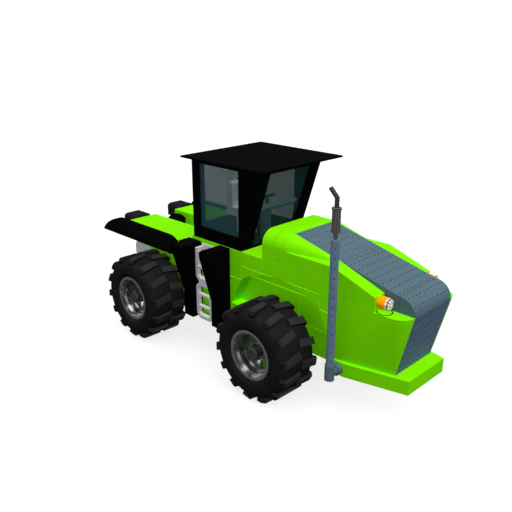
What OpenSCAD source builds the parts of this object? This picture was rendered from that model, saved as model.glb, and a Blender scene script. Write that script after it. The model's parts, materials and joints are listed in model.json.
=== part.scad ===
// Brick-built toy tractor with four equal wheels, a sloping bonnet and a mid cab.
// The front of the tractor faces -Y, its right side faces -X, and it stands on Z = 0.

/* [Body] */
// Width across the side walls
body_w = 48; // [44:0.5:52]
// Thickness of a side wall, one brick
wall_t = 8; // [7:0.1:9]
// Height of a brick course in the side walls
course_h = 8.2; // [7:0.1:9]
// Height of the keel over the axles' centre line
keel_over = 8.9; // [8:0.1:10]
// Depth of the keel under the axles' centre line
keel_under = 6.3; // [5.5:0.1:7.5]
// Height of the bumper
bumper_h = 7.6; // [6:0.1:9]
// Width of the seams between bricks
seam_w = 0.3; // [0.2:0.05:0.5]
// Depth of the seams between bricks
seam_d = 0.4; // [0.2:0.05:0.6]
// Length of the flat ledge
ledge_len = 16; // [12:0.1:20]

/* [Bonnet] */
// Height of the bonnet's flat top over the ledge
bonnet_rise = 16; // [13:0.1:19]
// Length of the arched part of the bonnet
arch_len = 16; // [12:0.1:20]
// Length of the tapering shoulders
shoulder_len = 32; // [26:0.1:38]
// Depth of the shelf beside the nose under the ledge
shelf_drop = 7.7; // [6:0.1:10]
// Distance from the nose back to the shoulders
nose_len = 40.8; // [37:0.1:46]
// Height over the shelf where the nose starts to round over
nose_rise = 8.2; // [6:0.1:10]
// Distance from the nose back to where its rounding starts
nose_round = 8.6; // [7:0.1:10]
// Distance that the grille's foot lies behind the nose
grille_rake = 7.8; // [4:0.1:9]
// Depth of the grille piece at its foot
grille_t = 5; // [3:0.1:8]
// Length of the brow over each lamp
brow_len = 24; // [20:0.1:28]
// Height of the brow's front edge over the shelf
brow_rise = 7.5; // [6:0.1:9]

/* [Lamps and exhaust] */
// Gap between a headlight and the sides of its shelf
lamp_gap = 0.95; // [0.5:0.05:1.5]
// Length of a headlight barrel
lamp_len = 4.6; // [3:0.1:6]
// Thickness of the lens at its edge
lens_t = 1.2; // [0.8:0.1:2]
// Height of the lens's dome
lens_dome = 0.8; // [0.4:0.1:1.4]
// Distance from the side wall out to the exhaust's centre line
stack_out = 7; // [5:0.1:9]
// Distance from the nose back to the exhaust's centre line
stack_back = 35.4; // [32:0.1:38]
// Diameter of the upright exhaust pipe
stack_d = 4.1; // [3:0.1:5]
// Diameter of the socket under the pipe
socket_d = 5; // [4.2:0.1:6]
// Height of the socket's foot over the belly
socket_lift = 0.4; // [0:0.1:1]
// Diameter of the flange on the pin that carries the socket
flange_d = 5.8; // [5:0.1:7]
// Thickness of that flange
flange_t = 3; // [2:0.1:4]
// Diameter of that pin
socket_pin_d = 4.2; // [3:0.1:4.6]
// Height of the socket
socket_len = 8.4; // [6:0.1:11]
// Height of the pipe's top over the ledge
stack_rise = 25.2; // [20:0.1:30]
// Length of the bumper's straight side in front of the exhaust
bumper_flat = 3.4; // [2:0.1:6]
// Diameter of the thin neck and tail pipe
tail_d = 2.2; // [1.6:0.1:3]
// Length of the neck under the muffler
neck_len = 3.4; // [2:0.1:6]
// Diameter of the muffler
muffler_d = 4.6; // [4:0.1:6]
// Length of the muffler
muffler_len = 11.5; // [9:0.1:14]
// Height of the bands round the muffler's ends
band_t = 1; // [0.6:0.1:1.6]
// Length of the straight tail pipe over the muffler
tail_len = 4.6; // [3:0.1:7]
// Length of the bent tip
tip_len = 5.4; // [4:0.1:7]
// Lean of the bent tip
tip_lean = 45; // [30:1:60]

/* [Cab] */
// Length of the cab at its foot
cab_len = 40; // [36:0.1:46]
// Height of the roof's top over the cab's foot
cab_h = 48.8; // [44:0.1:54]
// Thickness of the roof
roof_t = 3.2; // [2.4:0.1:4]
// Length of the roof
roof_len = 64; // [60:0.1:70]
// Overhang of the roof at each side
roof_over = 8; // [5:0.1:11]
// Thickness of the roof's thin edge
roof_edge = 1; // [0.6:0.1:2]
// Forward lean of the windscreen over its height
screen_lean = 15; // [10:0.1:18]
// Thickness of the cab's frames
frame_t = 3; // [2.4:0.1:4]
// Thickness of the glass
glass_t = 1.2; // [0.8:0.1:1.6]
// Height of the side window's sill over the cab's foot
sill_t = 7.4; // [5:0.1:10]
// Width of the post behind the side window
rear_post = 6; // [5:0.1:9]
// Width of the post in front of the side window, at its foot
front_post = 2; // [1.5:0.1:4]
// Width of a windscreen pillar
pillar_w = 8; // [6:0.1:10]
// Height of the rail over the windows
head_t = 1.4; // [1:0.1:3]
// Thickness of the cab's floor
floor_t = 1.6; // [1.2:0.1:3]

/* [Cab inside] */
// Width of the seat
seat_w = 13; // [11:0.1:16]
// Length of the seat's cushion
seat_len = 20; // [16:0.1:22]
// Height of the cushion's top over the cab's foot
seat_h = 17; // [13:0.1:19]
// Thickness of the cushion
seat_t = 5; // [4:0.1:6]
// Distance from the cab's foot edge back to the seat
seat_back = 10; // [9:0.1:12]
// Room between the headrest and the roof
head_room = 4.6; // [3:0.1:7]
// Height of the headrest
headrest_h = 7; // [5:0.1:8]
// Thickness of the backrest
backrest_t = 4.5; // [3:0.1:6]
// Height of the console's shelf over the cab's foot
console_h = 22; // [18:0.1:25]
// Thickness of that shelf
console_t = 1.2; // [0.8:0.1:2]
// Gap between that shelf and the windscreen
shelf_gap = 0.3; // [0.1:0.1:1]
// Width of the post under the shelf
post_w = 6; // [4:0.1:8]
// Thickness of that post
post_t = 3; // [2:0.1:4]
// Diameter of the steering wheel
steer_d = 10; // [8:0.1:12]
// Length of the steering column
column_len = 4; // [3:0.1:6]
// Radius of the steering column
column_r = 1; // [0.8:0.1:1.4]
// Lean of the steering column
column_lean = 20; // [10:1:35]

/* [Wheels] */
// Outside diameter of a tyre over its lugs
tyre_d = 52.2; // [50:0.1:54]
// Width of a tyre
tyre_w = 26; // [23:0.1:28]
// Height of the lugs
lug_h = 1.6; // [1.2:0.1:2.4]
// Width of a lug along the tread
lug_w = 3.8; // [3.2:0.1:4.8]
// Gap between a lug and the middle of the tread
lug_gap = 0.4; // [0.2:0.1:1]
// Reach of a lug's flat top from the middle of the tread
lug_reach = 10.8; // [9:0.1:11.4]
// Slant of a lug from straight across
lug_slant = 10; // [0:1:16]
// Lugs in each of the two rows
lug_count = 14; // [11:1:15]
// Diameter of a rim
rim_d = 27.2; // [25:0.1:29]
// Wall of a rim's lip
rim_t = 1.5; // [1.2:0.1:2]
// Distance that a rim's lip lies inside the tyre's side
rim_inset = 1.5; // [1:0.1:2.5]
// Depth of a rim's outer step
step_depth = 3; // [2:0.1:4]
// Width of the shoulder inside that step
shoulder_w = 1.2; // [0.8:0.1:1.8]
// Depth of the dish in a rim
dish_depth = 7; // [5:0.1:9]
// Thickness of a rim's floor
dish_t = 2; // [1.5:0.1:3]
// Spokes of a rim, in pairs
spoke_pairs = 3; // [2:1:4]
// Width of a spoke
spoke_w = 2.2; // [1.6:0.1:3]
// Width of the floor left round a rim's windows
window_edge = 1; // [0.6:0.1:1.6]
// Diameter of a hub
hub_d = 8.4; // [7.6:0.1:9.4]
// Distance that a hub's end lies inside the rim's lip
hub_inset = 3; // [2:0.1:4]
// Diameter of an axle
axle_d = 4.8; // [4:0.1:5.2]
// Thickness of the cap on an axle's end
axle_cap_t = 1.6; // [1.2:0.1:2]
// Width of the cross that is sunk in that cap
cross_w = 1.3; // [0.9:0.1:1.7]
// Running clearance between a wheel and its axle, on the radius
run_fit = 0.05; // [0.02:0.01:0.1]
// End play of a wheel between its collar and its cap
end_play = 0.3; // [0.2:0.05:0.6]
// Gap between a tyre and the side wall
side_gap = 1; // [0.8:0.1:2]
// Gap between the top of a front tyre and the arch over it
arch_gap = 7.4; // [5.5:0.05:8.5]
// Lean of the arch's ends over their height
arch_flare = 8.4; // [6:0.1:10]
// Distance from the exhaust's centre line back to the front tyre
tyre_back = 11.3; // [9.5:0.05:12.5]

/* [Mudguards and rear] */
// Thickness of a mudguard along the tractor
guard_t = 8; // [6:0.1:9]
// Distance that the front mudguard lies behind the cab's foot edge
guard_back = 9; // [7:0.1:12]
// Gap between the front and rear mudguards, for the ladder
step_gap = 16.5; // [15.5:0.1:20]
// Reach of a mudguard's top from the side wall
guard_top_w = 16; // [14:0.1:18]
// Reach of a mudguard's foot from the side wall
guard_foot_w = 8; // [6:0.1:10]
// Height of the mudguard's upright top edge
guard_lip = 3.4; // [2:0.1:5]
// Height of the mudguard's straight foot
guard_foot_h = 16; // [12:0.1:19]
// Gap between the rear mudguard and the rear tyre
wheel_gap = 3.4; // [2.5:0.05:5]
// Gap between the rear tyres and the decks over them
deck_gap = 6.2; // [4.5:0.05:7.5]
// Thickness of a rear deck
deck_t = 7.7; // [6:0.1:9]
// Width of the channel between the decks
channel_w = 16; // [13:0.1:20]
// Radius of the black wing along the outside of a deck
fender_r = 8; // [6:0.1:9]
// Radius of the wing's ends, seen from the side
fender_end_r = 12; // [10:0.1:14]
// Height of the wing's underside over the deck's underside
fender_lift = 1.6; // [0:0.1:3]
// Length of the mudguard's black cap in front of a deck
guard_cap = 2.7; // [2:0.1:4]
// Reach of the decks behind the rear axle
deck_over = 28; // [27:0.1:32]
// Reach of the wings behind the decks
fender_over = 13.3; // [9:0.1:15]
// Reach of the drawbar behind the decks
drawbar_len = 17.8; // [16:0.1:21]
// Width of a tail block
tail_w = 12; // [9:0.1:14]
// Length of a tail block
tail_block_len = 13; // [10:0.1:15]
// Height of a tail block
tail_h = 9; // [7:0.1:11]
// Radius of a tail block's rounded edges
tail_r = 3; // [2:0.1:4]
// Height of a tail block's top over the deck
tail_rise = 1.8; // [0:0.1:4]
// Height of the drawbar over the keel
drawbar_lift = 6; // [4:0.1:8]
// Width of the hitch block that carries the drawbar
hitch_w = 46; // [40:0.1:48]
// Reach of the hitch block into the rear body
hitch_depth = 14.5; // [11:0.1:18]
// Reach of the hitch block behind the decks
hitch_over = 3.5; // [2:0.1:5]
// Height of the hitch block over the drawbar
hitch_cover = 2.8; // [2:0.1:4]
// Radius of the hitch block's rear edges
hitch_r = 3; // [2:0.1:4]
// Thickness of the drawbar
drawbar_t = 6.4; // [4:0.1:8]
// Width of the drawbar
drawbar_w = 14; // [12:0.1:18]
// Diameter of the drawbar's pin hole
pin_d = 4.9; // [4:0.1:6]
// Diameter of the filler cap
cap_d = 12; // [9:0.1:14]
// Height of the filler cap's side
cap_h = 5; // [3:0.1:7]
// Height of the filler cap's dome
cap_dome = 3.6; // [2:0.1:5]

/* [Ladder] */
// Thickness of a ladder's rails
rail_t = 2.2; // [1.6:0.1:3]
// Width of a ladder
ladder_w = 13.8; // [11:0.1:14.4]
// Distance from the side wall out to the middle of a ladder
ladder_out = 5; // [4:0.1:7]
// Height of a ladder's foot over the belly
ladder_lift = 0.4; // [0:0.1:2]
// Height of a ladder's lower frame
ladder_low_h = 23; // [20:0.1:26]
// Gap between a ladder's two frames
ladder_split = 0.6; // [0.4:0.1:1]
// Chamfer of a ladder frame's corners
ladder_corner = 2.6; // [1.5:0.1:3.5]
// Rungs inside each ladder frame
rungs = 2; // [1:1:3]
// Height of the rungs
rung_t = 1.5; // [1:0.1:2]
// Depth of a ladder's wall plate under the ledge
plate_drop = 2.4; // [1.5:0.1:4]
// Height of a ladder's wall plate
plate_h = 4.6; // [3.6:0.1:6]
// Thickness of a ladder's wall plate
plate_t = 1; // [0.8:0.1:2]

/* [Hidden] */
$fn = 64;

// Colours of the toy's plastics
lime = [0.42, 0.78, 0.05];
slate = [0.36, 0.46, 0.52];
black = [0.05, 0.05, 0.06];
dark_grey = [0.27, 0.27, 0.29];
light_grey = [0.62, 0.62, 0.65];
silver = [0.78, 0.78, 0.80];
orange = [0.97, 0.70, 0.12];
smoke = [0.22, 0.28, 0.30, 0.55];
clear = [0.90, 0.90, 0.90, 0.70];

// Half widths
wall_x = body_w / 2;
core_x = wall_x - wall_t;
guard_x = wall_x + guard_top_w;

// Heights
tyre_r = tyre_d / 2;
axle_z = tyre_r;
belly_h = axle_z - keel_under;
keel_top = axle_z + keel_over;
sill_h = belly_h + bumper_h;
arch_top = tyre_d + arch_gap;
ledge_h = arch_top + course_h;
arch_spring = arch_top - course_h;
bonnet_h = ledge_h + bonnet_rise;
spring_h = bonnet_h - wall_t;
shelf_h = ledge_h - shelf_drop;
brow_h = shelf_h + brow_rise;
roof_h = ledge_h + cab_h;
cab_top = roof_h - roof_t;
window_foot = ledge_h + sill_t;
deck_under = tyre_d + deck_gap;
deck_h = deck_under + deck_t;
tongue_z = keel_top + drawbar_lift;
hitch_top = tongue_z + drawbar_t + hitch_cover;
stack_h = ledge_h + stack_rise;
tail_z = stack_h + neck_len + muffler_len;

// Stations along the tractor, from the nose back
cab_from_nose = nose_len + shoulder_len + arch_len + ledge_len;
rear_axle_from_cab = guard_back + guard_t + step_gap + guard_t + wheel_gap + tyre_r;
total_len = cab_from_nose + rear_axle_from_cab + deck_over + drawbar_len;
nose_y = -total_len / 2;
corner_y = nose_y + nose_len;
arch_y = corner_y + shoulder_len;
bonnet_y = arch_y + arch_len;
cab_y = nose_y + cab_from_nose;
cab_rear_y = cab_y + cab_len;
front_guard_y = cab_y + guard_back;
ladder_gap_y = front_guard_y + guard_t;
rear_guard_y = ladder_gap_y + step_gap;
tail_y = rear_guard_y + guard_t;
deck_y = tail_y + guard_cap;
rear_axle_y = cab_y + rear_axle_from_cab;
deck_rear_y = rear_axle_y + deck_over;
hitch_y = deck_rear_y - hitch_depth;
grille_foot_y = nose_y + grille_rake;
grille_back_y = grille_foot_y + grille_t;
brow_y = corner_y - brow_len;
stack_y = nose_y + stack_back;
stack_x = -(wall_x + stack_out);
front_axle_y = stack_y + tyre_back + tyre_r;
keel_front_y = stack_y + tyre_back - bumper_flat;

// Wheel arch and front corners
corner_r = wall_t;
arch_front_y = corner_y + arch_flare;
arch_half = (cab_y - arch_front_y) / 2;
arch_mid_y = (cab_y + arch_front_y) / 2;
arch_r = (arch_half * arch_half + course_h * course_h) / (2 * course_h);

// Wheels
wheel_x = wall_x + side_gap + tyre_w / 2;
carcass_r = tyre_r - lug_h;
rim_r = rim_d / 2;
rim_half = tyre_w / 2 - rim_inset;
hub_r = hub_d / 2;
axle_r = axle_d / 2;
hub_out = rim_half - hub_inset;
dish_h = rim_half - dish_depth;
bead_r = rim_r + (carcass_r - rim_r) / 4;

// Lamps
lamp_d = wall_t - 2 * lamp_gap;

// Console
shelf_top = ledge_h + console_h;
post_y = cab_y + frame_t;
console_y = post_y - screen_lean * (console_h - console_t) / (cab_top - ledge_h) + shelf_gap;

// A thin cut that opens a face cleanly
eps = 0.01;

// Puts a left-hand shape on the left, side 1, or mirrors it to the right, side -1
module on_side(side) {
    if (side > 0) children();
    else mirror([1, 0, 0]) children();
}

// Carries a profile drawn as [y, z] across the tractor from x0 to x1
module side_profile(x0, x1) {
    translate([x0, 0, 0])
        rotate([90, 0, 90])
            linear_extrude(x1 - x0) children();
}

// Carries a profile drawn as [x, z] along the tractor from y0 back to y1
module front_profile(y0, y1) {
    translate([0, y1, 0])
        rotate([90, 0, 0])
            linear_extrude(y1 - y0) children();
}

// A block between two opposite corners
module block(low, high) {
    translate(low) cube(high - low);
}

// A round bar along the tractor's width at y, z
module cross_bar(r, x0, x1, y, z) {
    translate([x0, y, z]) rotate([0, 90, 0]) cylinder(r = r, h = x1 - x0);
}

// A rectangle between two opposite corners
module area(low, high) {
    translate(low) square(high - low);
}

// A rectangle with its corners cut off at 45 degrees
module cut_area(low, high, cut) {
    polygon([
        [low.x + cut, low.y], [high.x - cut, low.y], [high.x, low.y + cut], [high.x, high.y - cut],
        [high.x - cut, high.y], [low.x + cut, high.y], [low.x, high.y - cut], [low.x, low.y + cut]
    ]);
}

// An upright seam at y from z0 to z1, drawn as [y, z]
module upright_seam(y, z0, z1) {
    area([y - seam_w / 2, z0], [y + seam_w / 2, z1]);
}

// A level seam at z from y0 to y1, drawn as [y, z]
module level_seam(z, y0, y1) {
    area([y0, z - seam_w / 2], [y1, z + seam_w / 2]);
}

// Part of a ball that stands as a dome of a given height on a round foot
module dome(d, h) {
    r = (d * d / 4 + h * h) / (2 * h);
    intersection() {
        translate([0, 0, h - r]) sphere(r);
        cylinder(d = d, h = h + 1);
    }
}

// Running gear

module keel() {
    color(lime) difference() {
        block([-core_x, keel_front_y, belly_h], [core_x, deck_rear_y, keel_top]);
        for (y = [front_axle_y, rear_axle_y])
            cross_bar(axle_r + run_fit, -wall_x, wall_x, y, axle_z);
    }
}

// A fixed axle: the rod, a collar inside each wheel and a cap with a sunk cross outside it
module axle(y) {
    hub_in = wheel_x - rim_half;
    hub_end = wheel_x + hub_out + end_play;
    cap_r = (hub_r + axle_r) / 2;
    color(dark_grey) difference() {
        union() {
            cross_bar(axle_r, -hub_end, hub_end, y, axle_z);
            for (side = [-1, 1]) on_side(side) {
                cross_bar(hub_r, core_x, hub_in - end_play, y, axle_z);
                cross_bar(cap_r, hub_end, hub_end + axle_cap_t, y, axle_z);
            }
        }
        for (side = [-1, 1], turn = [0, 90]) on_side(side)
            translate([hub_end + axle_cap_t / 2, y, axle_z]) rotate([turn, 0, 0])
                translate([0, -cross_w / 2, -axle_r]) cube([axle_cap_t, cross_w, axle_d]);
    }
}

module axle_front() { axle(front_axle_y); }
module axle_rear() { axle(rear_axle_y); }

// Puts a wheel, modelled with its outside up, on an axle end
module on_axle(side, y) {
    translate([side * wheel_x, y, axle_z]) rotate([0, side * 90, 0]) children();
}

// A dished rim: a stepped lip, a floor with windows between its spokes, a hub and its bore
module rim(side, y) {
    lip_r = rim_r - rim_t;
    well_r = lip_r - shoulder_w;
    color(silver) on_axle(side, y) difference() {
        rotate_extrude() difference() {
            area([0, -rim_half], [rim_r, rim_half]);
            area([hub_r, rim_half - step_depth], [lip_r, rim_half + eps]);
            area([hub_r, dish_h], [well_r, rim_half]);
            area([hub_r, -rim_half - eps], [lip_r, dish_h - dish_t]);
            area([-eps, hub_out], [hub_r + eps, rim_half + eps]);
        }
        translate([0, 0, -rim_half - 1]) cylinder(r = axle_r + run_fit, h = 2 * rim_half + 2);
        translate([0, 0, dish_h - dish_t - 1]) linear_extrude(dish_t + 2) difference() {
            circle(well_r - window_edge);
            circle(hub_r + window_edge);
            for (i = [0 : spoke_pairs - 1])
                rotate(i * 180 / spoke_pairs) square([2 * rim_r, spoke_w], center = true);
        }
    }
}

module rim_front_right() { rim(-1, front_axle_y); }
module rim_front_left() { rim(1, front_axle_y); }
module rim_rear_right() { rim(-1, rear_axle_y); }
module rim_rear_left() { rim(1, rear_axle_y); }

// A point of a tyre's broad section, [radius, width], for a crown radius and an angle from the crown
function section(crown, a) = [
    bead_r + (crown - bead_r) * pow(cos(a), 0.45),
    tyre_w / 2 * sign(a) * pow(abs(sin(a)), 0.6)
];

// One row of slanted lugs, flat over the tread and slanting down over the tyre's shoulder
module lug_row(row) {
    shoulder_r = carcass_r - lug_h / 2;
    for (i = [0 : lug_count - 1])
        rotate([0, 0, (i + (row > 0 ? 0 : 0.5)) * 360 / lug_count])
            rotate([row * lug_slant, 0, 0])
                translate([0, lug_w / 2, 0]) rotate([90, 0, 0]) linear_extrude(lug_w)
                    scale([1, row]) polygon([
                        [carcass_r - lug_h, lug_gap], [tyre_r + lug_h, lug_gap], [tyre_r + lug_h, lug_reach],
                        [tyre_r, lug_reach], [shoulder_r, tyre_w / 2],
                        [shoulder_r - 2 * lug_h, tyre_w / 2 - lug_h]
                    ]);
}

// A tyre: a revolved section with two staggered rows of lugs, trimmed to the tyre's diameter
module tyre(side, y) {
    turns = 8;
    color(black) on_axle(side, y) {
        rotate_extrude() polygon(concat(
            [[rim_r, -rim_half]],
            [for (i = [-turns : turns]) section(carcass_r, i * 90 / turns)],
            [[rim_r, rim_half]]
        ));
        intersection() {
            union() for (row = [-1, 1]) lug_row(row);
            translate([0, 0, -tyre_w / 2]) cylinder(r = tyre_r, h = tyre_w);
        }
    }
}

module tyre_front_right() { tyre(-1, front_axle_y); }
module tyre_front_left() { tyre(1, front_axle_y); }
module tyre_rear_right() { tyre(-1, rear_axle_y); }
module tyre_rear_left() { tyre(1, rear_axle_y); }

// Front body

// The inner wall between the keel and the bonnet, seen through the wheel arches
module core() {
    seam_z = arch_spring;
    color(lime) difference() {
        side_profile(-core_x, core_x) polygon([
            [tail_y, keel_top], [tail_y, ledge_h], [corner_y, ledge_h], [corner_y, shelf_h],
            [grille_back_y, shelf_h], [grille_back_y, sill_h], [keel_front_y, sill_h],
            [keel_front_y, keel_top]
        ]);
        for (side = [-1, 1]) on_side(side) side_profile(core_x - seam_d, core_x + 1) {
            level_seam(seam_z, arch_front_y, cab_y);
            upright_seam(arch_mid_y, keel_top, seam_z);
            upright_seam(arch_mid_y - wall_t, keel_top, seam_z);
        }
    }
}

// The arch over a front wheel as [y, z]: a shallow bow between two leaning ends
module arch_cut() {
    low = belly_h - 1;
    intersection() {
        translate([arch_mid_y, arch_top - arch_r]) circle(arch_r, $fn = 128);
        area([arch_front_y, arch_spring - eps], [cab_y, arch_top + 1]);
    }
    polygon([
        [arch_front_y, arch_spring], [cab_y, arch_spring], [cab_y + arch_flare, keel_top],
        [cab_y, keel_top], [cab_y, low], [corner_y - 1, low], [corner_y - 1, keel_top],
        [corner_y, keel_top]
    ]);
}

// The seams between a side wall's bricks as [y, z]
module wall_seams() {
    upright_seam(cab_y, arch_spring, ledge_h + 1);
    upright_seam(bonnet_y, arch_top, ledge_h + 1);
    upright_seam(arch_y - wall_t, arch_top, ledge_h + 1);
    upright_seam(arch_front_y, arch_spring, ledge_h + 1);
    level_seam(arch_top, arch_front_y, cab_y);
    level_seam(arch_spring, cab_y, tail_y + 1);
    level_seam(arch_spring, corner_y - 1, arch_front_y);
}

module side_wall(side) {
    color(lime) on_side(side) difference() {
        side_profile(core_x, wall_x) difference() {
            area([corner_y, belly_h], [tail_y, ledge_h]);
            arch_cut();
        }
        side_profile(wall_x - seam_d, wall_x + 1) wall_seams();
    }
}

module side_wall_right() { side_wall(-1); }
module side_wall_left() { side_wall(1); }

// The bonnet's arched part, two slices with a seam between them
module bonnet_arch() {
    seam_y = (arch_y + bonnet_y) / 2;
    color(lime) for (span = [[arch_y, seam_y - seam_w / 2], [seam_y + seam_w / 2, bonnet_y]])
        front_profile(span[0], span[1]) {
            area([-wall_x, ledge_h], [wall_x, spring_h]);
            area([-core_x, spring_h - eps], [core_x, bonnet_h]);
            for (s = [-1, 1]) translate([s * core_x, spring_h]) circle(wall_t);
        }
}

// A shoulder: the wall's top course with a quarter cone that dies out forward
module shoulder(side) {
    color(lime) on_side(side) {
        block([core_x, corner_y, ledge_h], [wall_x, arch_y, spring_h]);
        intersection() {
            translate([core_x, arch_y, spring_h])
                rotate([90, 0, 0]) cylinder(r1 = wall_t, r2 = 0, h = shoulder_len);
            block([core_x, corner_y, spring_h - eps], [wall_x + 1, arch_y, bonnet_h + 1]);
        }
    }
}

module shoulder_right() { shoulder(-1); }
module shoulder_left() { shoulder(1); }

// The sloping panel with its rounded nose
module bonnet_panel() {
    color(slate) side_profile(-core_x, core_x) polygon(concat(
        [[corner_y, shelf_h], [corner_y, ledge_h], [arch_y, ledge_h], [arch_y, bonnet_h]],
        [for (i = [0 : 8])
            [nose_y + nose_round * (1 - sin(i * 90 / 8)), shelf_h + nose_rise * cos(i * 90 / 8)]]
    ));
}

module grille() {
    color(slate) side_profile(-core_x, core_x) polygon([
        [nose_y, shelf_h], [grille_foot_y, sill_h], [grille_back_y, sill_h], [grille_back_y, shelf_h]
    ]);
}

module brow(side) {
    color(lime) on_side(side) side_profile(core_x, wall_x) polygon([
        [corner_y, shelf_h], [corner_y, spring_h], [brow_y, brow_h], [brow_y, shelf_h]
    ]);
}

module brow_right() { brow(-1); }
module brow_left() { brow(1); }

// A front corner: the wall, a slanted facet and an inverted quarter cone
module corner(side) {
    round_y = nose_y + corner_r;
    thin = 0.05;
    color(lime) on_side(side) hull() {
        block([core_x, round_y, shelf_h - thin], [wall_x, corner_y, shelf_h]);
        intersection() {
            translate([core_x, round_y, shelf_h - thin]) cylinder(r = corner_r, h = thin, $fn = 48);
            block([core_x, nose_y, shelf_h - thin], [wall_x, round_y, shelf_h]);
        }
        block([core_x, grille_foot_y, sill_h], [core_x + thin, corner_y, sill_h + thin]);
        block([core_x, corner_y - thin, sill_h], [wall_x, corner_y, sill_h + thin]);
    }
}

module corner_right() { corner(-1); }
module corner_left() { corner(1); }

module bumper() {
    taper_y = stack_y - bumper_flat;
    color(lime) translate([0, 0, belly_h]) linear_extrude(bumper_h) polygon([
        [-core_x, nose_y], [core_x, nose_y], [wall_x, taper_y], [wall_x, keel_front_y],
        [-wall_x, keel_front_y], [-wall_x, taper_y]
    ]);
}

// Lamps

// Sets a lamp part on the end of the brow, level with its front edge
module at_lamp(side) {
    on_side(side)
        translate([(core_x + wall_x) / 2, brow_y, shelf_h + brow_rise - lamp_d / 2])
            rotate([90, 0, 0]) children();
}

module headlight(side) {
    color(orange) at_lamp(side) cylinder(d = lamp_d, h = lamp_len);
}

module headlight_right() { headlight(-1); }
module headlight_left() { headlight(1); }

module lens(side) {
    color(clear) at_lamp(side) translate([0, 0, lamp_len]) {
        cylinder(d = lamp_d, h = lens_t);
        translate([0, 0, lens_t]) dome(lamp_d, lens_dome);
    }
}

module lens_right() { lens(-1); }
module lens_left() { lens(1); }

// Exhaust

module exhaust_socket() {
    pin_z = belly_h + bumper_h / 2;
    color(slate) {
        translate([stack_x, stack_y, belly_h + socket_lift]) cylinder(d = socket_d, h = socket_len);
        cross_bar(socket_pin_d / 2, stack_x, -wall_x, stack_y, pin_z);
        cross_bar(flange_d / 2, -wall_x - flange_t, -wall_x, stack_y, pin_z);
    }
}

module exhaust_pipe() {
    foot = belly_h + socket_lift + socket_len;
    color(slate) translate([stack_x, stack_y, foot]) cylinder(d = stack_d, h = stack_h - foot);
}

// The muffler on its neck, with a raised band round each end
module muffler() {
    color(dark_grey) translate([stack_x, stack_y, stack_h]) {
        cylinder(d = tail_d, h = neck_len);
        translate([0, 0, neck_len]) cylinder(d = muffler_d - band_t / 2, h = muffler_len);
        for (z = [neck_len, neck_len + muffler_len - band_t])
            translate([0, 0, z]) cylinder(d = muffler_d, h = band_t);
    }
}

module exhaust_tip() {
    color(dark_grey) translate([stack_x, stack_y, tail_z]) {
        cylinder(d = tail_d, h = tail_len);
        translate([0, 0, tail_len]) {
            sphere(d = tail_d);
            rotate([-tip_lean, 0, 0]) cylinder(d = tail_d, h = tip_len);
        }
    }
}

// Cab

module cab_floor() {
    inner_x = wall_x - frame_t;
    color(black) block(
        [-inner_x, cab_y + frame_t, ledge_h],
        [inner_x, cab_rear_y - frame_t, ledge_h + floor_t]
    );
}

// The side window's outline as [y, z]
module side_window() {
    polygon([
        [cab_y + front_post, window_foot], [cab_rear_y - rear_post, window_foot],
        [cab_rear_y - rear_post, cab_top - head_t], [cab_y + front_post, cab_top - head_t]
    ]);
}

module cab_side(side) {
    color(black) on_side(side) side_profile(wall_x - frame_t, wall_x) difference() {
        polygon([
            [cab_y, ledge_h], [cab_rear_y, ledge_h], [cab_rear_y, cab_top],
            [cab_y - screen_lean, cab_top]
        ]);
        side_window();
    }
}

module cab_side_right() { cab_side(-1); }
module cab_side_left() { cab_side(1); }

module side_glass(side) {
    middle = wall_x - frame_t / 2;
    color(smoke) on_side(side)
        side_profile(middle - glass_t / 2, middle + glass_t / 2) side_window();
}

module side_glass_right() { side_glass(-1); }
module side_glass_left() { side_glass(1); }

// A leaning band of the windscreen, from front to back of its thickness
module screen_band(x, front, back) {
    side_profile(-x, x) polygon([
        [cab_y + front, ledge_h], [cab_y + back, ledge_h],
        [cab_y + back - screen_lean, cab_top], [cab_y + front - screen_lean, cab_top]
    ]);
}

// The windscreen's opening between its pillars
module screen_opening() {
    x = wall_x - pillar_w;
    block([-x, cab_y - cab_len, ledge_h + head_t], [x, cab_y + cab_len, cab_top - head_t]);
}

module screen_frame() {
    color(black) difference() {
        screen_band(wall_x - frame_t, 0, frame_t);
        screen_opening();
    }
}

module windscreen() {
    middle = frame_t / 2;
    color(smoke) intersection() {
        screen_band(wall_x, middle - glass_t / 2, middle + glass_t / 2);
        screen_opening();
    }
}

// The rear window's opening
module rear_opening() {
    x = wall_x - pillar_w + 1;
    block([-x, cab_rear_y - 2 * frame_t, window_foot], [x, cab_rear_y + frame_t, cab_top - 2 * head_t]);
}

module rear_frame() {
    x = wall_x - frame_t;
    color(black) difference() {
        block([-x, cab_rear_y - frame_t, ledge_h], [x, cab_rear_y, cab_top]);
        rear_opening();
    }
}

module rear_glass() {
    middle = cab_rear_y - frame_t / 2;
    color(smoke) intersection() {
        block([-wall_x, middle - glass_t / 2, ledge_h], [wall_x, middle + glass_t / 2, cab_top]);
        rear_opening();
    }
}

// A flat roof whose underside slopes up to a thin edge
module roof() {
    x = wall_x + roof_over;
    front_y = cab_rear_y - roof_len;
    color(black) hull() {
        block([-x, front_y, roof_h - roof_edge], [x, cab_rear_y, roof_h]);
        block([-wall_x, cab_y - screen_lean, cab_top], [wall_x, cab_rear_y, roof_h]);
    }
}

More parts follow.
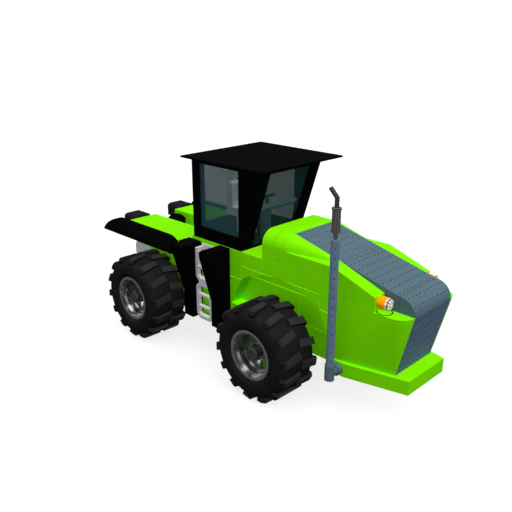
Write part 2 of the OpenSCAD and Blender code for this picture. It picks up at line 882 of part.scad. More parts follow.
// A seat on its post, with a rounded cushion, a backrest and a headrest on two bars
module seat() {
    y0 = cab_y + seat_back;
    y1 = y0 + seat_len;
    foot = ledge_h + floor_t;
    top = ledge_h + seat_h;
    head_top = cab_top - head_room;
    head_foot = head_top - headrest_h;
    back_top = head_foot - headrest_h / 3;
    head_w = seat_w * 0.6;
    round_r = seat_t / 2;
    color(light_grey) {
        block([-seat_w / 4, y0 + seat_len / 4, foot], [seat_w / 4, y1 - seat_len / 4, top - round_r]);
        side_profile(-seat_w / 2, seat_w / 2) {
            translate([y0 + round_r, top - round_r]) circle(round_r);
            area([y0 + round_r, top - seat_t], [y1, top]);
            area([y1 - backrest_t, top - eps], [y1, back_top - backrest_t / 2]);
            translate([y1 - backrest_t / 2, back_top - backrest_t / 2]) circle(backrest_t / 2);
        }
        side_profile(-head_w / 2, head_w / 2) {
            area([y1 - backrest_t, head_foot], [y1, head_top - backrest_t / 2]);
            translate([y1 - backrest_t / 2, head_top - backrest_t / 2]) circle(backrest_t / 2);
        }
        for (s = [-1, 1])
            translate([s * head_w / 4, y1 - backrest_t / 2, back_top - backrest_t / 2])
                cylinder(r = rung_t / 2, h = head_foot - back_top + backrest_t);
    }
}

// The console: a shelf behind the windscreen, from side to side of the cab, on a post
module console() {
    inner_x = wall_x - frame_t;
    color(slate) {
        block([-inner_x, console_y, shelf_top - console_t], [inner_x, post_y + post_t, shelf_top]);
        block([-post_w / 2, post_y, ledge_h + floor_t], [post_w / 2, post_y + post_t, shelf_top - eps]);
    }
}

// The steering wheel on a leaning column that stands on the console
module steering_wheel() {
    rim_bar = column_r * 0.8;
    lift = column_r * sin(column_lean);
    color(dark_grey)
        translate([0, post_y, shelf_top + lift]) rotate([-column_lean, 0, 0]) {
            cylinder(r = column_r, h = column_len);
            translate([0, 0, column_len]) {
                rotate_extrude() translate([steer_d / 2 - rim_bar, 0]) circle(rim_bar, $fn = 24);
                for (a = [0, 120, 240])
                    rotate([0, 0, a]) rotate([0, 90, 0])
                        cylinder(r = rim_bar / 2, h = steer_d / 2 - rim_bar);
            }
        }
}

// Ladders, mudguards and rear

// One frame of a ladder as [y, z], with its corners cut off and its rungs inside
module ladder_frame(low, high) {
    rail = [rail_t, rail_t];
    difference() {
        cut_area(low, high, ladder_corner);
        cut_area(low + rail, high - rail, ladder_corner - rail_t / 2);
    }
    pitch = (high.y - low.y) / (rungs + 1);
    for (i = [1 : rungs])
        area([low.x, low.y + i * pitch - rung_t / 2], [high.x, low.y + i * pitch + rung_t / 2]);
}

// A ladder of two frames, one over the other, held by two arms on a wall plate and a stay at their joint
module ladder(side) {
    y0 = ladder_gap_y + (step_gap - ladder_w) / 2;
    y1 = y0 + ladder_w;
    x = wall_x + ladder_out;
    foot = belly_h + ladder_lift;
    joint = foot + ladder_low_h;
    plate_top = ledge_h - plate_drop;
    top = plate_top - (plate_h - rail_t) / 2;
    stay = [wall_x, y0 + ladder_corner, joint - rail_t];
    color(light_grey) on_side(side) {
        side_profile(x - rail_t / 2, x + rail_t / 2) {
            ladder_frame([y0, foot], [y1, joint]);
            intersection() {
                ladder_frame([y0, joint + ladder_split], [y1, ledge_h + ladder_corner]);
                area([y0, joint], [y1, top]);
            }
        }
        for (y = [y0, y1 - rail_t]) block([wall_x, y, top - rail_t], [x + rail_t / 2, y + rail_t, top]);
        block([wall_x, y0, plate_top - plate_h], [wall_x + plate_t, y1, plate_top]);
        block(stay, [x + rail_t / 2, y1 - ladder_corner, joint + ladder_split + rail_t]);
    }
}

module ladder_right() { ladder(-1); }
module ladder_left() { ladder(1); }

// A mudguard's outline as [x, z]: wide at the top, slanting in to a straight foot
module guard_outline(top) {
    polygon([
        [wall_x, belly_h], [wall_x + guard_foot_w, belly_h],
        [wall_x + guard_foot_w, belly_h + guard_foot_h],
        [guard_x, top - guard_lip], [guard_x, top], [wall_x, top]
    ]);
}

module front_guard(side) {
    color(black) on_side(side)
        front_profile(front_guard_y, front_guard_y + guard_t) guard_outline(ledge_h);
}

module front_guard_right() { front_guard(-1); }
module front_guard_left() { front_guard(1); }

// The rear mudguard, with a cap that reaches back to the deck
module rear_guard(side) {
    color(black) on_side(side) {
        front_profile(rear_guard_y, tail_y) guard_outline(deck_h);
        block([wall_x, tail_y - eps, deck_under], [guard_x - fender_r, deck_y, deck_h]);
    }
}

module rear_guard_right() { rear_guard(-1); }
module rear_guard_left() { rear_guard(1); }

module deck(side) {
    color(lime) on_side(side)
        block([channel_w / 2, deck_y, deck_under], [guard_x - fender_r, deck_rear_y, deck_h]);
}

module deck_right() { deck(-1); }
module deck_left() { deck(1); }

// A black wing along the deck: a quarter round whose ends round down
module fender(side) {
    x0 = guard_x - fender_r;
    low = deck_under + fender_lift;
    middle_z = low + fender_r - fender_end_r;
    reach = sqrt(fender_end_r * fender_end_r - (low - middle_z) * (low - middle_z));
    front_y = tail_y + reach;
    rear_y = deck_rear_y + fender_over - reach;
    color(black) on_side(side) intersection() {
        front_profile(tail_y, deck_rear_y + fender_over + 1) intersection() {
            area([x0, low], [x0 + fender_r, low + fender_r]);
            translate([x0, low]) circle(fender_r);
        }
        side_profile(x0 - 1, guard_x + 1) {
            area([front_y, low - 1], [rear_y, low + fender_r + 1]);
            for (y = [front_y, rear_y]) translate([y, middle_z]) circle(fender_end_r);
        }
    }
}

module fender_right() { fender(-1); }
module fender_left() { fender(1); }

// The body between the rear wheels, with a notch under its rear end for the hitch block
module rear_body() {
    color(lime) {
        side_profile(-wall_x, wall_x) difference() {
            area([tail_y, keel_top], [deck_rear_y, deck_under]);
            area([hitch_y, keel_top - 1], [deck_rear_y + 1, hitch_top]);
        }
        block([-wall_x, tail_y, deck_under - eps], [wall_x, deck_y, deck_h]);
    }
}

// A box with rounded upper edges, fixed to a deck's rear end
module tail_block(side) {
    x0 = wall_x - tail_w;
    top = deck_h + tail_rise;
    end_y = deck_rear_y + tail_block_len;
    color(dark_grey) on_side(side) intersection() {
        front_profile(deck_rear_y, end_y) {
            area([x0, top - tail_h], [wall_x, top - tail_r]);
            area([x0 + tail_r, top - tail_r - eps], [wall_x - tail_r, top]);
            for (x = [x0 + tail_r, wall_x - tail_r]) translate([x, top - tail_r]) circle(tail_r);
        }
        side_profile(x0 - 1, wall_x + 1) {
            area([deck_rear_y, top - tail_h], [end_y, top - tail_r]);
            area([deck_rear_y, top - tail_r - eps], [end_y - tail_r, top]);
            translate([end_y - tail_r, top - tail_r]) circle(tail_r);
        }
    }
}

module tail_block_right() { tail_block(-1); }
module tail_block_left() { tail_block(1); }

module filler_cap() {
    color(black) translate([0, deck_rear_y - cap_d, deck_under]) {
        cylinder(d = cap_d, h = cap_h);
        translate([0, 0, cap_h]) dome(cap_d, cap_dome);
    }
}

// A hitch block in the rear body's notch, with a tongue that has a pin hole
module drawbar() {
    block_end = deck_rear_y + hitch_over;
    end_y = deck_rear_y + drawbar_len;
    round_y = end_y - drawbar_w / 2;
    color(light_grey) difference() {
        union() {
            side_profile(-hitch_w / 2, hitch_w / 2) {
                area([hitch_y, keel_top], [block_end - hitch_r, hitch_top]);
                area([hitch_y, keel_top + hitch_r], [block_end, hitch_top - hitch_r]);
                for (z = [keel_top + hitch_r, hitch_top - hitch_r])
                    translate([block_end - hitch_r, z]) circle(hitch_r);
            }
            translate([-drawbar_w / 2, hitch_y, tongue_z]) cube([drawbar_w, round_y - hitch_y, drawbar_t]);
            translate([0, round_y, tongue_z]) cylinder(d = drawbar_w, h = drawbar_t);
        }
        translate([0, round_y, tongue_z - 1]) cylinder(d = pin_d, h = drawbar_t + 2);
    }
}

keel();
axle_front();
axle_rear();
core();
side_wall_right();
side_wall_left();
bonnet_arch();
shoulder_right();
shoulder_left();
bonnet_panel();
grille();
brow_right();
brow_left();
corner_right();
corner_left();
bumper();
headlight_right();
headlight_left();
lens_right();
lens_left();
exhaust_socket();
exhaust_pipe();
muffler();
exhaust_tip();
cab_floor();
cab_side_right();
cab_side_left();
screen_frame();
rear_frame();
roof();
windscreen();
side_glass_right();
side_glass_left();
rear_glass();
seat();
console();
steering_wheel();
ladder_right();
ladder_left();
front_guard_right();
front_guard_left();
rear_guard_right();
rear_guard_left();
deck_right();
deck_left();
fender_right();
fender_left();
rear_body();
tail_block_right();
tail_block_left();
filler_cap();
drawbar();
rim_front_right();
rim_front_left();
rim_rear_right();
rim_rear_left();
tyre_front_right();
tyre_front_left();
tyre_rear_right();
tyre_rear_left();
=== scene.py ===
import json
import math
import bpy
import bmesh
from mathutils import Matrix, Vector


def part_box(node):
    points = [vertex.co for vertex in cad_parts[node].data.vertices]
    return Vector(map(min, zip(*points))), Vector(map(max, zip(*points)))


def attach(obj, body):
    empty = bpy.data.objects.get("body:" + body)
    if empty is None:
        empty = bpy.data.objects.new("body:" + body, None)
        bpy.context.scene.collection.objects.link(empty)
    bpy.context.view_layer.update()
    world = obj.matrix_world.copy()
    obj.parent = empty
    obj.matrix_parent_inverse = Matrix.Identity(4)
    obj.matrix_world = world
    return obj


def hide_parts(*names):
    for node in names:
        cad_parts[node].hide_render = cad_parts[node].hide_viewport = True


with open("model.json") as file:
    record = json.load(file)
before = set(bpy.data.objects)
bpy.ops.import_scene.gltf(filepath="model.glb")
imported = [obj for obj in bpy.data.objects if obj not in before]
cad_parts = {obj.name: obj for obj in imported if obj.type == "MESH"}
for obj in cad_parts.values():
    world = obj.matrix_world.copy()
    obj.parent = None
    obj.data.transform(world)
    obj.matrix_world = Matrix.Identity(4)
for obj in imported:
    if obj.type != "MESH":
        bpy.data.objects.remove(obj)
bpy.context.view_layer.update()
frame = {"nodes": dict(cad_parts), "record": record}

nodes = frame["nodes"]
record = frame["record"]
slot_of = {part["node"]: part["material_slot"] for part in record["subparts"]}
body_of = {node: body for body, members in record["behaviour"]["bodies"].items() for node in members}
MM = 0.001


# Shader maths: a socket that takes part in Python expressions

class Sock:
    def __init__(self, tree, socket):
        self.tree = tree
        self.socket = socket

    @staticmethod
    def node(tree, kind, settings=None, sockets=None, output=0):
        made = tree.nodes.new(kind)
        for name, value in (settings or {}).items():
            if name == "stops":
                ramp = made.color_ramp.elements
                while len(ramp) < len(value):
                    ramp.new(0.5)
                for stop, (at, colour) in zip(ramp, value):
                    stop.position = at
                    stop.color = colour
            else:
                setattr(made, name, value)
        for key, value in (sockets or {}).items():
            target = made.inputs[key]
            if isinstance(value, Sock):
                tree.links.new(value.socket, target)
            else:
                target.default_value = value
        return Sock(tree, made.outputs[output])

    def math(self, operation, first, second=0.0):
        return Sock.node(self.tree, "ShaderNodeMath", {"operation": operation}, {0: first, 1: second})

    def __add__(self, other):
        return self.math("ADD", self, other)

    def __sub__(self, other):
        return self.math("SUBTRACT", self, other)

    def __rsub__(self, other):
        return self.math("SUBTRACT", other, self)

    def __mul__(self, other):
        return self.math("MULTIPLY", self, other)

    def __truediv__(self, other):
        return self.math("DIVIDE", self, other)

    def __lt__(self, other):
        return self.math("LESS_THAN", self, other)

    def __gt__(self, other):
        return self.math("GREATER_THAN", self, other)

    def __abs__(self):
        return self.math("ABSOLUTE", self)

    __radd__ = __add__
    __rmul__ = __mul__

    def cell(self, pitch):
        """Distance from the middle of the nearest cell of a pattern that repeats every pitch."""
        return (self.math("FRACT", self / pitch) - 0.5) * pitch

    def angle(self, other):
        return self.math("ARCTAN2", self, other)

    def length(self, other):
        """Length of the line with these two parts, square to each other."""
        return self.math("SQRT", self * self + other * other)


FLOW_SCALE = 90.0
GLOSS_SCALE = 420.0


class Finish:
    """One material: its node tree, its shader and the patterns that several finishes share."""

    def __init__(self, name, **constants):
        self.material = bpy.data.materials.new(name)
        self.material.use_nodes = True
        self.tree = self.material.node_tree
        self.shader = self.tree.nodes["Principled BSDF"]
        for socket, value in constants.items():
            self.shader.inputs[socket.replace("_", " ")].default_value = value

    def node(self, kind, settings=None, sockets=None, output=0):
        return Sock.node(self.tree, kind, settings, sockets, output)

    def place(self):
        return self.node("ShaderNodeTexCoord", output="Object")

    def axes(self):
        """The object's own x, y and z."""
        parts = self.node("ShaderNodeSeparateXYZ", {}, {"Vector": self.place()}).socket.node
        return [Sock(self.tree, parts.outputs[i]) for i in range(3)]

    def noise(self, scale, detail=2.0, roughness=0.5):
        return self.node(
            "ShaderNodeTexNoise", {},
            {"Vector": self.place(), "Scale": scale, "Detail": detail, "Roughness": roughness})

    def blend(self, factor, first, second):
        return self.node(
            "ShaderNodeMix", {"data_type": "RGBA"}, {0: factor, 6: first, 7: second}, 2)

    def flow(self, deep, bright):
        """A slow flow between two shades, as moulded plastic has."""
        return self.blend(self.noise(FLOW_SCALE, 3.0), deep, bright)

    def uneven(self, gloss):
        """A gloss that varies by a third or so from place to place."""
        return (self.noise(GLOSS_SCALE, 4.0) * 0.6 + 0.7) * gloss

    def feed(self, socket, value):
        self.tree.links.new(value.socket, self.shader.inputs[socket])

    def bump(self, height, strength, distance):
        self.feed("Normal", self.node(
            "ShaderNodeBump", {}, {"Height": height, "Strength": strength, "Distance": distance}))


def rgba(red, green, blue):
    """A colour given as the eye sees it, 0 to 255, as the renderer's linear light."""
    def linear(level):
        part = level / 255
        return part / 12.92 if part <= 0.04045 else ((part + 0.055) / 1.055) ** 2.4
    return (linear(red), linear(green), linear(blue), 1.0)


def middle(node):
    low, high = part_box(node)
    return (low + high) / 2


def size(node):
    low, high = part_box(node)
    return high - low


# Finishes of the toy's plastics, rubber and plating

def moulded_plastic(name, deep, bright, gloss, roughness=0.36):
    """Moulded plastic: a slow flow of colour under a thin uneven gloss, with a very fine skin."""
    finish = Finish(name, Specular_IOR_Level=0.0, Coat_Roughness=roughness)
    finish.feed("Base Color", finish.flow(deep, bright))
    finish.feed("Coat Weight", finish.uneven(gloss))
    finish.bump(finish.noise(5200.0, 2.0), 0.05, 0.00004)
    return finish.material


# SLATE_PIT darkens the bonnet's joint lines, and in the exhaust pipe's pits it is painted shade.
SLATE_DEEP, SLATE_BRIGHT, SLATE_PIT = rgba(70, 92, 102), rgba(80, 102, 112), rgba(20, 28, 34)
SLATE_GLOSS = 0.12
SLATE_ROUGHNESS = 0.34
SEAM_HALF = 0.16 * MM


def slate_panel(name, seams):
    """Slate plastic with thin joint lines across the tractor at the given stations along it."""
    finish = Finish(name, Specular_IOR_Level=0.0, Coat_Roughness=SLATE_ROUGHNESS)
    along = finish.axes()[1]
    line = sum(abs(along - seam) < SEAM_HALF for seam in seams)
    slate = finish.flow(SLATE_DEEP, SLATE_BRIGHT)
    finish.feed("Base Color", finish.blend(line * 0.55, slate, SLATE_PIT))
    finish.feed("Coat Weight", finish.uneven(SLATE_GLOSS))
    finish.bump(1.0 - line, 0.4, 0.0001)
    return finish.material


def dotted_tube(name, tube, around, pitch, dot, deep, bright, pit):
    """Plastic of an upright tube with rows of small round pits, each filled with painted shade."""
    centre, radius = middle(tube), size(tube).x / 2
    finish = Finish(name, Specular_IOR_Level=0.0, Coat_Roughness=SLATE_ROUGHNESS)
    x, y, z = finish.axes()
    turn = (y - centre.y).angle(x - centre.x) * radius
    sideways = turn.cell(2 * math.pi * radius / around)
    shaded_hole = sideways.length(z.cell(pitch)) < dot
    # Painted shade: each pit is coloured dark for the shade in its hollow.
    finish.feed("Base Color", finish.blend(shaded_hole, finish.flow(deep, bright), pit))
    finish.feed("Coat Weight", (1.0 - shaded_hole) * SLATE_GLOSS)
    finish.bump(1.0 - shaded_hole, 0.5, 0.0002)
    return finish.material


DISH_SHADE_FADE = 4.0 * MM


def plated_silver(rim):
    """Bright plating with a little uneven haze, darkened by painted shade deep in the wheel's dish."""
    outer_face = abs(middle(rim).x) + size(rim).x / 2
    finish = Finish("silver", Metallic=1.0)
    haze = finish.noise(260.0, 4.0)
    # Painted shade: the plating is darkened towards the inside of the wheel's dish, where shade falls.
    depth = (outer_face - abs(finish.axes()[0])) / DISH_SHADE_FADE
    lip = finish.blend(haze, rgba(204, 204, 206), rgba(240, 240, 242))
    dish = finish.blend(haze, rgba(122, 122, 124), rgba(176, 176, 178))
    finish.feed("Base Color", finish.blend(depth, lip, dish))
    finish.feed("Roughness", haze * 0.12 + 0.12)
    finish.bump(finish.noise(2600.0, 3.0), 0.06, 0.00003)
    return finish.material


LUG_TOP_DEPTH = 0.7 * MM


def soft_rubber(tyre):
    """Matte rubber with a fine raised grain, with a painted highlight that makes the tops of the lugs
    paler.
    """
    centre, radius = middle(tyre), size(tyre).z / 2
    finish = Finish("rubber_" + tyre, Specular_IOR_Level=0.0, Coat_Roughness=0.5)
    grain = finish.noise(2400.0, 5.0, 0.65)
    mottle = finish.noise(170.0, 3.0)
    along, upward = finish.axes()[1:]
    lug_top = (along - centre.y).length(upward - centre.z) > radius - LUG_TOP_DEPTH
    rubber = finish.blend(mottle, rgba(19, 19, 20), rgba(29, 29, 30))
    # Painted highlight: the tops of the lugs get a paler rubber for the light they catch.
    lug_top_highlight = finish.blend(mottle, rgba(34, 34, 35), rgba(48, 48, 49))
    finish.feed("Base Color", finish.blend(lug_top, rubber, lug_top_highlight))
    finish.feed("Coat Weight", grain * 0.08)
    finish.bump(grain, 0.2, 0.00008)
    return finish.material


def smoke_glass(name, tint, cover):
    """Thin clear plastic with a grey-green tint and faint streaks."""
    finish = Finish(name, Specular_IOR_Level=0.0, Coat_Roughness=0.05, Base_Color=tint)
    streaks = finish.noise(140.0, 2.0)
    finish.feed("Coat Weight", streaks * 0.1 + 0.05)
    finish.feed("Alpha", streaks * 0.04 + cover)
    return finish.material


LENS_RIBS = 9
LENS_RIB_HALF = 0.24 * MM
LENS_EYE = 0.3
LENS_RIM = 0.42 * MM
LENS_EDGE = 0.84 * MM


def clear_lens(lens):
    """Clear lamp lens with facets that catch the light, dark ribs of painted reflection out from its
    middle and a dark rim.
    """
    centre, radius = middle(lens), size(lens).x / 2
    back = centre.y + size(lens).y / 2
    finish = Finish("clear_" + lens, IOR=1.5)
    x, y, z = finish.axes()
    sideways, upward = x - centre.x, z - centre.z
    out = sideways.length(upward)
    # Painted reflection: dark ribs out from the middle stand in for the dark reflections in the lens's
    # facets.
    across_rib = abs(upward.angle(sideways).cell(2 * math.pi / LENS_RIBS)) * out
    reflected_rib = (across_rib < LENS_RIB_HALF) * (out > radius * LENS_EYE)
    dark = reflected_rib + (out > radius - LENS_RIM) * (y < back - LENS_EDGE)
    finish.feed("Base Color", finish.blend(dark * 0.85, rgba(250, 247, 243), rgba(24, 25, 30)))
    facets = finish.node(
        "ShaderNodeTexVoronoi", {"feature": "F1"}, {"Vector": finish.place(), "Scale": 900.0}, "Distance")
    finish.feed("Roughness", facets * 0.2 + 0.05)
    finish.feed("Alpha", facets * 0.2 + 0.8)
    finish.bump(facets, 0.5, 0.0002)
    return finish.material


FINISHES = {
    "lime": moulded_plastic("lime", rgba(110, 208, 2), rgba(116, 217, 4), 0.02),
    "slate": moulded_plastic("slate", SLATE_DEEP, SLATE_BRIGHT, SLATE_GLOSS),
    "black": moulded_plastic("black", rgba(3, 3, 4), rgba(7, 7, 8), 0.015),
    "dark_grey": moulded_plastic("dark_grey", rgba(50, 48, 53), rgba(62, 60, 65), 0.12),
    "light_grey": moulded_plastic("light_grey", rgba(176, 173, 178), rgba(192, 189, 194), 0.2),
    "orange": moulded_plastic("orange", rgba(244, 148, 1), rgba(252, 162, 3), 0.06, 0.25),
    "silver": plated_silver("rim_front_right"),
    "glass": smoke_glass("glass", rgba(44, 74, 80), 0.5),
}


NOSE_ROUND = 8.6 * MM
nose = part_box("bonnet_panel")[0].y
brow_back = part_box("brow_right")[1].y
TAIL_GREY = moulded_plastic("tail_grey", rgba(24, 24, 31), rgba(32, 32, 40), 0.03)
OWN_FINISH = {
    "bonnet_panel": slate_panel("slate_bonnet", [brow_back, nose + NOSE_ROUND]),
    # Painted shade fills the exhaust pipe's pits.
    "exhaust_pipe": dotted_tube(
        "slate_pipe", "exhaust_pipe", around=4, pitch=4.8 * MM, dot=0.36 * MM,
        deep=rgba(88, 106, 130), bright=rgba(98, 116, 140), pit=SLATE_PIT),
    # A paler grey than the light grey plastic: partly the seat's own pale colour, partly painted light
    # that brightens it inside the dim cab.
    "seat": moulded_plastic("pale_seat", rgba(222, 221, 224), rgba(236, 235, 238), 0.2),
    "windscreen": smoke_glass("dark_glass", rgba(22, 46, 52), 0.6),
    "console": moulded_plastic("pale_slate", rgba(120, 146, 158), rgba(134, 160, 172), 0.1),
    "tail_block_right": TAIL_GREY,
    "tail_block_left": TAIL_GREY,
    **{node: soft_rubber(node) for node in nodes if node.startswith("tyre_")},
    **{node: clear_lens(node) for node in nodes if node.startswith("lens_")},
    "grille": moulded_plastic("slate_grille", rgba(74, 94, 116), rgba(84, 104, 126), SLATE_GLOSS),
    # Painted shade: the muffler's holes are coloured near black for the shade inside them.
    "muffler": dotted_tube(
        "pierced_muffler", "muffler", around=12, pitch=1.15 * MM, dot=0.3 * MM,
        deep=rgba(82, 78, 82), bright=rgba(94, 90, 94), pit=rgba(8, 8, 9)),
}
# Painted shade and painted highlight: a dimple's middle is dark slate for the shade in its hollow, its rim
# a paler slate for the light the rim catches.
DIMPLE_PIT_SHADE = moulded_plastic("dimple_pit_shade", rgba(32, 42, 50), rgba(42, 53, 61), 0.0, 0.6)
DIMPLE_RIM_HIGHLIGHT = moulded_plastic("dimple_rim_highlight", rgba(112, 136, 148), rgba(120, 144, 156), SLATE_GLOSS)


# Rigid pieces: each moulded part gets its rounded edges

WELD_GAP = 0.002 * MM
FLAT_ANGLE = math.radians(0.6)
EDGE_ANGLE = math.radians(32)
EDGE_SEGMENTS = 2
CURVE_ANGLE = math.radians(34)
CORNER_ANGLE = math.radians(14)


def welded_mesh(node, name, whole_faces):
    """A welded copy of a node's loose triangles with plain normals, its flat faces made whole if asked."""
    mesh = bpy.data.meshes.new(name)
    form = bmesh.new()
    form.from_mesh(nodes[node].data)
    bmesh.ops.remove_doubles(form, verts=form.verts, dist=WELD_GAP)
    if whole_faces:
        bmesh.ops.dissolve_limit(
            form, angle_limit=FLAT_ANGLE, verts=form.verts, edges=form.edges, delimit={"NORMAL"})
        bmesh.ops.connect_verts_concave(form, faces=form.faces)
    form.to_mesh(mesh)
    form.free()
    if "custom_normal" in mesh.attributes:
        mesh.attributes.remove(mesh.attributes["custom_normal"])
    mesh.shade_smooth()
    return mesh


def dress(mesh, node):
    mesh.materials.clear()
    mesh.materials.append(OWN_FINISH.get(node) or FINISHES[slot_of[node]])


def finish_piece(piece, node):
    dress(piece.data, node)
    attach(piece, body_of[node])
    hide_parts(node)


def moulded(node, edge):
    """The node again with its sharp edges rounded to a radius, as moulded plastic has them."""
    mesh = welded_mesh(node, node + "_moulded", True)
    piece = bpy.data.objects.new(node + "_moulded", mesh)
    bpy.context.scene.collection.objects.link(piece)
    bevel = piece.modifiers.new("edges", "BEVEL")
    bevel.width = edge
    bevel.segments = EDGE_SEGMENTS
    bevel.limit_method = "ANGLE"
    bevel.angle_limit = EDGE_ANGLE
    bevel.harden_normals = True
    bevel.use_clamp_overlap = True
    bevel.miter_outer = "MITER_ARC"
    evaluated = piece.evaluated_get(bpy.context.evaluated_depsgraph_get())
    rounded = bpy.data.meshes.new_from_object(evaluated)
    piece.modifiers.clear()
    piece.data = rounded
    bpy.data.meshes.remove(mesh)
    finish_piece(piece, node)


def smooth_copy(node, angle):
    """The node again with smooth curves and crisp edges."""
    mesh = welded_mesh(node, node + "_smooth", False)
    mesh.set_sharp_from_angle(angle=angle)
    piece = bpy.data.objects.new(node + "_smooth", mesh)
    bpy.context.scene.collection.objects.link(piece)
    finish_piece(piece, node)


EDGE_RADIUS = {"lime": 0.16 * MM, "black": 0.20 * MM, "slate": 0.18 * MM, "dark_grey": 0.18 * MM,
               "light_grey": 0.22 * MM, "orange": 0.2 * MM}
SMOOTH_NODES = ("tyre_", "rim_", "axle_", "exhaust_", "muffler", "steering_wheel", "lens_", "fender_",
                "filler_cap", "shoulder_", "corner_", "tail_block_")
for node in nodes:
    if node.startswith(SMOOTH_NODES):
        smooth_copy(node, CORNER_ANGLE if node.startswith("corner_") else CURVE_ANGLE)
    elif slot_of[node] == "glass":
        dress(nodes[node].data, node)
    else:
        moulded(node, EDGE_RADIUS[slot_of[node]])


# Rows of small dimples over the bonnet panel, its nose and the grille, painted as dark discs of shade
# ringed by a painted highlight

class NodeTree:
    """A Geometry Nodes tree that is built up socket by socket."""

    def __init__(self, name, inputs):
        self.group = bpy.data.node_groups.new(name, "GeometryNodeTree")
        interface = self.group.interface
        interface.new_socket("Geometry", in_out="INPUT", socket_type="NodeSocketGeometry")
        self.identifier = {}
        for title, kind in inputs:
            made = interface.new_socket(title, in_out="INPUT", socket_type="NodeSocket" + kind)
            self.identifier[title] = made.identifier
        interface.new_socket("Geometry", in_out="OUTPUT", socket_type="NodeSocketGeometry")
        self.given = self.group.nodes.new("NodeGroupInput")
        self.result = self.group.nodes.new("NodeGroupOutput")

    def add(self, kind, settings=None, sockets=None):
        made = self.group.nodes.new(kind)
        for name, value in (settings or {}).items():
            setattr(made, name, value)
        for key, value in (sockets or {}).items():
            if isinstance(value, bpy.types.NodeSocket):
                self.group.links.new(value, made.inputs[key])
            else:
                made.inputs[key].default_value = value
        return made.outputs

    def source(self, title):
        return self.given.outputs[title]

    def end(self, geometry):
        self.group.links.new(geometry, self.result.inputs[0])

    def grow(self, name, mesh, values):
        """Runs the tree on a mesh and returns the result as a plain mesh object."""
        seed = bpy.data.objects.new(name, mesh)
        bpy.context.scene.collection.objects.link(seed)
        modifier = seed.modifiers.new("grow", "NODES")
        modifier.node_group = self.group
        for title, value in values.items():
            modifier[self.identifier[title]] = value
        evaluated = seed.evaluated_get(bpy.context.evaluated_depsgraph_get())
        grown = bpy.data.meshes.new_from_object(evaluated)
        seed.modifiers.clear()
        seed.data = grown
        return seed


DIMPLE_ROWS = 4.8 * MM
DIMPLE_COLUMNS = 3.2 * MM
DIMPLES_ACROSS = 10
DIMPLE_RADIUS = 0.58 * MM
DIMPLE_SIDES = 10
ROW_START = -DIMPLE_COLUMNS * (DIMPLES_ACROSS - 1) / 2
# Each layer of a dimple: its name, its foot and top as shares of the radius, its height and its finish (a
# painted highlight for the edge, painted shade for the pit)
DIMPLE_LAYERS = (("edge", 1.22, 1.1, 0.05 * MM, DIMPLE_RIM_HIGHLIGHT), ("pit", 1.0, 0.95, 0.09 * MM, DIMPLE_PIT_SHADE))


def dimple_tree():
    """Rows of small round dimples, each row square across a path and turned to face outward."""
    tree = NodeTree("dimple_rows", [
        ("Row Pitch", "Float"), ("Column Pitch", "Float"), ("Columns", "Int"), ("Foot Radius", "Float"),
        ("Top Radius", "Float"), ("Height", "Float"), ("Material", "Material")])
    path = tree.add("GeometryNodeMeshToCurve", {}, {"Mesh": tree.source("Geometry")})
    rows = tree.add("GeometryNodeCurveToPoints", {"mode": "LENGTH"},
                    {"Curve": path[0], "Length": tree.source("Row Pitch")})
    outward = tree.add("ShaderNodeVectorMath", {"operation": "CROSS_PRODUCT"},
                       {0: rows["Tangent"], 1: (1.0, 0.0, 0.0)})
    facing = tree.add("FunctionNodeAlignRotationToVector", {"axis": "Z"}, {"Vector": outward[0]})
    step = tree.add("ShaderNodeCombineXYZ", {}, {"X": tree.source("Column Pitch")})
    column = tree.add("GeometryNodeMeshLine", {"mode": "OFFSET"},
                      {"Count": tree.source("Columns"), "Offset": step[0]})
    dimple = tree.add("GeometryNodeMeshCone", {"fill_type": "NGON"},
                      {"Vertices": DIMPLE_SIDES, "Radius Top": tree.source("Top Radius"),
                       "Radius Bottom": tree.source("Foot Radius"), "Depth": tree.source("Height")})
    row = tree.add("GeometryNodeInstanceOnPoints", {}, {"Points": column[0], "Instance": dimple["Mesh"]})
    placed = tree.add("GeometryNodeInstanceOnPoints", {},
                      {"Points": rows["Points"], "Instance": row[0], "Rotation": facing[0]})
    real = tree.add("GeometryNodeRealizeInstances", {}, {"Geometry": placed[0]})
    dressed = tree.add("GeometryNodeSetMaterial", {},
                       {"Geometry": real[0], "Material": tree.source("Material")})
    tree.end(dressed[0])
    return tree


def path_mesh(name, points):
    mesh = bpy.data.meshes.new(name)
    mesh.from_pydata(points, [(i, i + 1) for i in range(len(points) - 1)], [])
    return mesh


def outer_line(node, over_top):
    """A node's outer line seen from the side: forward over its top, or back along its underside."""
    points = sorted({(round(v.co.y, 6), round(v.co.z, 6)) for v in nodes[node].data.vertices})
    chain = []
    for y, z in reversed(points) if over_top else points:
        while len(chain) > 1 and ((chain[-1][0] - chain[-2][0]) * (z - chain[-2][1])
                                  <= (chain[-1][1] - chain[-2][1]) * (y - chain[-2][0])):
            chain.pop()
        chain.append((y, z))
    return [Vector((ROW_START, y, z)) for y, z in chain]


def half_row_in(line):
    """The same line, begun half a row of dimples from its end."""
    return [line[0] + (line[1] - line[0]).normalized() * DIMPLE_ROWS / 2] + line[1:]


bonnet_line = half_row_in(outer_line("bonnet_panel", True))
grille_line = half_row_in(outer_line("grille", False)[:2])
dimples = dimple_tree()
for panel, line in (("bonnet_panel", bonnet_line), ("grille", grille_line)):
    for layer, foot, top, height, finish in DIMPLE_LAYERS:
        piece = dimples.grow(panel + "_dimple_" + layer, path_mesh(panel + layer, line), {
            "Row Pitch": DIMPLE_ROWS, "Column Pitch": DIMPLE_COLUMNS, "Columns": DIMPLES_ACROSS,
            "Foot Radius": DIMPLE_RADIUS * foot, "Top Radius": DIMPLE_RADIUS * top, "Height": height,
            "Material": finish})
        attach(piece, body_of[panel])


# A dark ring on the shelf round the foot of each lamp

RING_INNER = 3.35 * MM
RING_OUTER = 3.85 * MM
RING_RISE = 0.12 * MM
RING_FORWARD = 0.9 * MM
RING_SIDES = 40


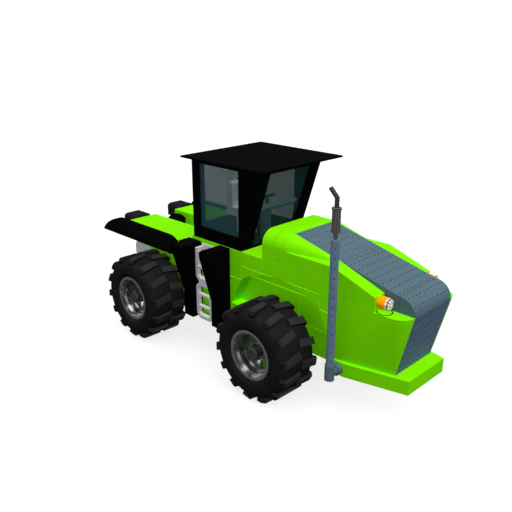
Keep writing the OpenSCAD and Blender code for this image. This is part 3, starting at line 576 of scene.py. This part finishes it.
def lamp_ring(lamp, brow):
    centre = middle(lamp)
    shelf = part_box(brow)[0].z
    top = shelf + RING_RISE
    form = bmesh.new()
    loops = []
    for radius, z in ((RING_OUTER, shelf), (RING_OUTER, top), (RING_INNER, top), (RING_INNER, shelf)):
        turns = [2 * math.pi * i / RING_SIDES for i in range(RING_SIDES)]
        loops.append([form.verts.new((
            centre.x + radius * math.cos(turn),
            centre.y - RING_FORWARD + radius * math.sin(turn), z)) for turn in turns])
    for lower, upper in zip(loops, loops[1:] + loops[:1]):
        for i in range(RING_SIDES):
            j = (i + 1) % RING_SIDES
            form.faces.new((lower[i], lower[j], upper[j], upper[i]))
    bmesh.ops.recalc_face_normals(form, faces=form.faces)
    mesh = bpy.data.meshes.new(lamp + "_ring")
    form.to_mesh(mesh)
    form.free()
    mesh.materials.append(FINISHES["black"])
    ring = bpy.data.objects.new(lamp + "_ring", mesh)
    bpy.context.scene.collection.objects.link(ring)
    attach(ring, body_of[lamp])


lamp_ring("headlight_right", "brow_right")
lamp_ring("headlight_left", "brow_left")


# Studio: camera at the photograph's angle, pale floor, soft light

CAMERA_AT = (-0.25034, -0.24287, 0.18401)
CAMERA_AZIMUTH = -45.13
CAMERA_ELEVATION = 19.91
CAMERA_LENS = 44.64
CAMERA_SENSOR = 36.0
NEAREST_SEEN = 10 * MM
LIGHT_SPREAD = math.radians(60)
FLOOR_REACH = 60.0
FLOOR_SHADE = 0.76
ROOM_BELOW = 0.1
ROOM_OVERHEAD = 0.22


def add_camera():
    data = bpy.data.cameras.new("photo_camera")
    data.lens = CAMERA_LENS
    data.sensor_width = CAMERA_SENSOR
    data.clip_start = NEAREST_SEEN
    camera = bpy.data.objects.new("photo_camera", data)
    camera.location = CAMERA_AT
    camera.rotation_euler = (math.radians(90 - CAMERA_ELEVATION), 0, math.radians(CAMERA_AZIMUTH))
    bpy.context.scene.collection.objects.link(camera)
    bpy.context.scene.camera = camera


def add_soft_light(name, direction, energy):
    """A broad soft light that casts no shadow, as the photograph has none."""
    data = bpy.data.lights.new(name, "SUN")
    data.energy = energy
    data.angle = LIGHT_SPREAD
    data.use_shadow = False
    light = bpy.data.objects.new(name, data)
    light.rotation_euler = Vector(direction).to_track_quat("-Z", "Y").to_euler()
    bpy.context.scene.collection.objects.link(light)


def grey(level):
    return (level, level, level, 1.0)


def add_floor():
    """A pale floor that throws no light back up at the tractor."""
    mesh = bpy.data.meshes.new("floor")
    signs = ((-1, -1), (1, -1), (1, 1), (-1, 1))
    mesh.from_pydata([(x * FLOOR_REACH, y * FLOOR_REACH, 0) for x, y in signs], [], [(0, 1, 2, 3)])
    floor = bpy.data.objects.new("floor", mesh)
    finish = Finish("pale_floor", Base_Color=grey(FLOOR_SHADE), Roughness=0.95, Specular_IOR_Level=0.0)
    mesh.materials.append(finish.material)
    bpy.context.scene.collection.objects.link(floor)
    floor.visible_diffuse = False
    floor.visible_glossy = False


def add_world():
    """A pale room: dim below, white round the walls, softer overhead."""
    world = bpy.data.worlds.new("studio")
    world.use_nodes = True
    tree = world.node_tree
    facing = Sock.node(tree, "ShaderNodeTexCoord", output="Generated")
    height = Sock.node(tree, "ShaderNodeSeparateXYZ", {}, {"Vector": facing}, 2)
    stops = [(0.0, grey(ROOM_BELOW)), (0.48, grey(ROOM_BELOW)), (0.49, grey(1.0)), (0.7, grey(1.0)),
             (0.78, grey(ROOM_OVERHEAD)), (1.0, grey(ROOM_OVERHEAD))]
    room = Sock.node(tree, "ShaderNodeValToRGB", {"stops": stops}, {"Fac": height * 0.5 + 0.5})
    tree.links.new(room.socket, tree.nodes["Background"].inputs["Color"])
    bpy.context.scene.world = world


add_camera()
add_soft_light("overhead_light", direction=(0.16, 0.14, -1.0), energy=3.3)
add_soft_light("front_light", direction=(0.0, 1.0, -0.6), energy=0.7)
add_floor()
add_world()
bpy.context.scene.view_settings.view_transform = "Standard"
